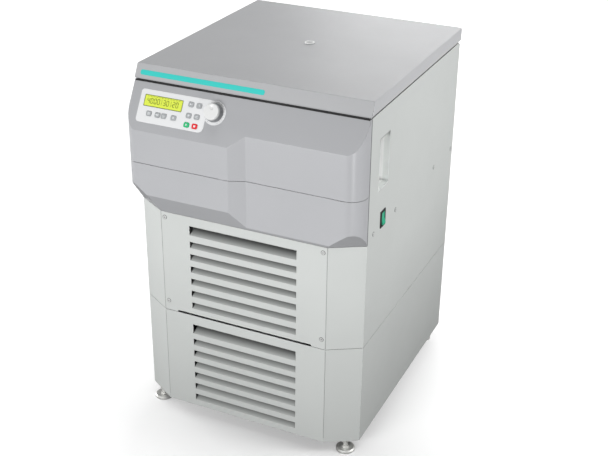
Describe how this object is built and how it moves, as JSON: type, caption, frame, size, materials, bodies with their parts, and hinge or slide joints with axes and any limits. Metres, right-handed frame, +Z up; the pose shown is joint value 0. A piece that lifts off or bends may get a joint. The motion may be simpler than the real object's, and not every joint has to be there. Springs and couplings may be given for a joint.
{
  "type": "floor-standing laboratory centrifuge",
  "caption": "Floor-standing refrigerated centrifuge with hinged lid, sloped keypad console, vented front, swing-out bucket rotor, side grips and levelling feet.",
  "frame": {"origin": "on the floor, under the middle of the machine's overall box", "axes": "+Z up; the console and vents face -Y; the power switch is on the +X side; X runs across the width"},
  "size_m": [0.6271, 0.721, 0.9635],
  "materials": {
    "frame_paint": "satin",
    "cabinet_paint": "satin",
    "screw_steel": "satin",
    "console_plastic": "satin",
    "overlay": "matte",
    "display": "gloss",
    "circuit_board": "matte",
    "knob": "satin",
    "black_plastic": "satin",
    "rocker_green": "gloss",
    "grip_plastic": "satin",
    "deck_steel": "brushed",
    "seal_rubber": "matte",
    "armour_iron": "matte",
    "copper": "bright",
    "motor_iron": "painted",
    "bright_steel": "bright",
    "rotor_aluminium": "anodised",
    "bucket_aluminium": "anodised",
    "black_paint": "gloss",
    "fin_aluminium": "bare",
    "lid_plastic": "satin",
    "sight_glass": "gloss",
    "foot_steel": "satin",
    "key_grey": "matte",
    "key_green": "matte",
    "key_red": "matte"
  },
  "bodies": {
    "root": {"balance_springs": "black_paint", "chamber_bowl": "deck_steel", "chamber_seal": "seal_rubber", "chassis": "frame_paint", "compressor": "black_paint", "condenser": "fin_aluminium", "control_board": "circuit_board", "display_window": "display", "drive_motor": "motor_iron", "evaporator_coil": "copper", "fan_shroud": "black_plastic", "fascia_lower": "console_plastic", "fascia_upper": "console_plastic", "grip_cups": "grip_plastic", "guard_ring": "armour_iron", "hinge_pins": "bright_steel", "inverter_box": "fin_aluminium", "keypad_overlay": "overlay", "lid_hinges": "bright_steel", "lock_housings": "fin_aluminium", "lower_housing": "cabinet_paint", "mains_inlet": "black_plastic", "motor_dampers": "seal_rubber", "motor_plate": "frame_paint", "panel_screws": "screw_steel", "rear_panel": "cabinet_paint", "side_panel_left": "cabinet_paint", "side_panel_right": "cabinet_paint", "switch_frame": "black_plastic", "top_deck": "deck_steel", "vent_panel_lower": "cabinet_paint", "vent_panel_upper": "cabinet_paint"},
    "lid": {"lid_cover": "lid_plastic", "lid_frame": "deck_steel", "lid_window": "sight_glass"},
    "rotor": {"drive_shaft": "bright_steel", "rotor_cross": "rotor_aluminium", "rotor_nut": "rotor_aluminium"},
    "fan": {"condenser_fan": "black_plastic"},
    "lock": {"lock_bar": "bright_steel"},
    "knob": {"control_knob": "knob"},
    "rocker": {"switch_rocker": "rocker_green"},
    "key_program_cap": {"key_program": "key_grey"},
    "key_recall_cap": {"key_recall": "key_grey"},
    "key_minus_cap": {"key_minus": "key_grey"},
    "key_light_cap": {"key_light": "key_grey"},
    "key_speed_cap": {"key_speed": "key_grey"},
    "key_time_cap": {"key_time": "key_grey"},
    "key_cool_cap": {"key_cool": "key_grey"},
    "key_lid_cap": {"key_lid": "key_grey"},
    "key_start_cap": {"key_start": "key_green"},
    "key_stop_cap": {"key_stop": "key_red"},
    "bucket_1_body": {"bucket_1": "bucket_aluminium"},
    "bucket_2_body": {"bucket_2": "bucket_aluminium"},
    "bucket_3_body": {"bucket_3": "bucket_aluminium"},
    "bucket_4_body": {"bucket_4": "bucket_aluminium"},
    "foot_1_body": {"foot_1": "foot_steel"},
    "foot_2_body": {"foot_2": "foot_steel"},
    "foot_3_body": {"foot_3": "foot_steel"},
    "foot_4_body": {"foot_4": "foot_steel"}
  },
  "joints": [
    {"name": "lid_hinge", "type": "hinge", "parent": "root", "child": "lid", "pos_m": [0, 0.349, 0.937], "axis": [-1, 0, 0], "range_deg": [0, 75]},
    {"name": "rotor_spin", "type": "hinge", "parent": "root", "child": "rotor", "pos_m": [0, 0.0485, 0.8], "axis": [0, 0, 1], "continuous": true},
    {"name": "fan_spin", "type": "hinge", "parent": "root", "child": "fan", "pos_m": [0, -0.2345, 0.16], "axis": [0, 1, 0], "continuous": true},
    {"name": "lock_slide", "type": "slide", "parent": "root", "child": "lock", "axis": [1, 0, 0], "range_m": [0, 0.012]},
    {"name": "knob_turn", "type": "hinge", "parent": "root", "child": "knob", "pos_m": [-0.0768, -0.32016, 0.88218], "axis": [0, -0.8614, 0.508], "continuous": true},
    {"name": "rocker_tip", "type": "hinge", "parent": "root", "child": "rocker", "pos_m": [0.307, -0.1955, 0.635], "axis": [0, 1, 0], "range_deg": [0, 14]},
    {"name": "key_program_press", "type": "slide", "parent": "root", "child": "key_program_cap", "axis": [0, 0.8614, -0.508], "range_m": [0, 0.0006], "stiffness_N_per_m": 400, "springref_m": -0.002},
    {"name": "key_recall_press", "type": "slide", "parent": "root", "child": "key_recall_cap", "axis": [0, 0.8614, -0.508], "range_m": [0, 0.0006], "stiffness_N_per_m": 400, "springref_m": -0.002},
    {"name": "key_minus_press", "type": "slide", "parent": "root", "child": "key_minus_cap", "axis": [0, 0.8614, -0.508], "range_m": [0, 0.0006], "stiffness_N_per_m": 400, "springref_m": -0.002},
    {"name": "key_light_press", "type": "slide", "parent": "root", "child": "key_light_cap", "axis": [0, 0.8614, -0.508], "range_m": [0, 0.0006], "stiffness_N_per_m": 400, "springref_m": -0.002},
    {"name": "key_speed_press", "type": "slide", "parent": "root", "child": "key_speed_cap", "axis": [0, 0.8614, -0.508], "range_m": [0, 0.0006], "stiffness_N_per_m": 400, "springref_m": -0.002},
    {"name": "key_time_press", "type": "slide", "parent": "root", "child": "key_time_cap", "axis": [0, 0.8614, -0.508], "range_m": [0, 0.0006], "stiffness_N_per_m": 400, "springref_m": -0.002},
    {"name": "key_cool_press", "type": "slide", "parent": "root", "child": "key_cool_cap", "axis": [0, 0.8614, -0.508], "range_m": [0, 0.0006], "stiffness_N_per_m": 400, "springref_m": -0.002},
    {"name": "key_lid_press", "type": "slide", "parent": "root", "child": "key_lid_cap", "axis": [0, 0.8614, -0.508], "range_m": [0, 0.0006], "stiffness_N_per_m": 400, "springref_m": -0.002},
    {"name": "key_start_press", "type": "slide", "parent": "root", "child": "key_start_cap", "axis": [0, 0.8614, -0.508], "range_m": [0, 0.0006], "stiffness_N_per_m": 400, "springref_m": -0.002},
    {"name": "key_stop_press", "type": "slide", "parent": "root", "child": "key_stop_cap", "axis": [0, 0.8614, -0.508], "range_m": [0, 0.0006], "stiffness_N_per_m": 400, "springref_m": -0.002},
    {"name": "bucket_1_swing", "type": "hinge", "parent": "rotor", "child": "bucket_1_body", "pos_m": [0.106, 0.0485, 0.8], "axis": [0, -1, 0], "range_deg": [0, 90]},
    {"name": "bucket_2_swing", "type": "hinge", "parent": "rotor", "child": "bucket_2_body", "pos_m": [0, 0.1545, 0.8], "axis": [1, 0, 0], "range_deg": [0, 90]},
    {"name": "bucket_3_swing", "type": "hinge", "parent": "rotor", "child": "bucket_3_body", "pos_m": [-0.106, 0.0485, 0.8], "axis": [0, 1, 0], "range_deg": [0, 90]},
    {"name": "bucket_4_swing", "type": "hinge", "parent": "rotor", "child": "bucket_4_body", "pos_m": [0, -0.0575, 0.8], "axis": [-1, 0, 0], "range_deg": [0, 90]},
    {"name": "foot_1_turn", "type": "hinge", "parent": "root", "child": "foot_1_body", "pos_m": [-0.275, -0.2975, 0], "axis": [0, 0, 1], "continuous": true},
    {"name": "foot_2_turn", "type": "hinge", "parent": "root", "child": "foot_2_body", "pos_m": [0.275, -0.2975, 0], "axis": [0, 0, 1], "continuous": true},
    {"name": "foot_3_turn", "type": "hinge", "parent": "root", "child": "foot_3_body", "pos_m": [-0.275, 0.3045, 0], "axis": [0, 0, 1], "continuous": true},
    {"name": "foot_4_turn", "type": "hinge", "parent": "root", "child": "foot_4_body", "pos_m": [0.275, 0.3045, 0], "axis": [0, 0, 1], "continuous": true}
  ]
}
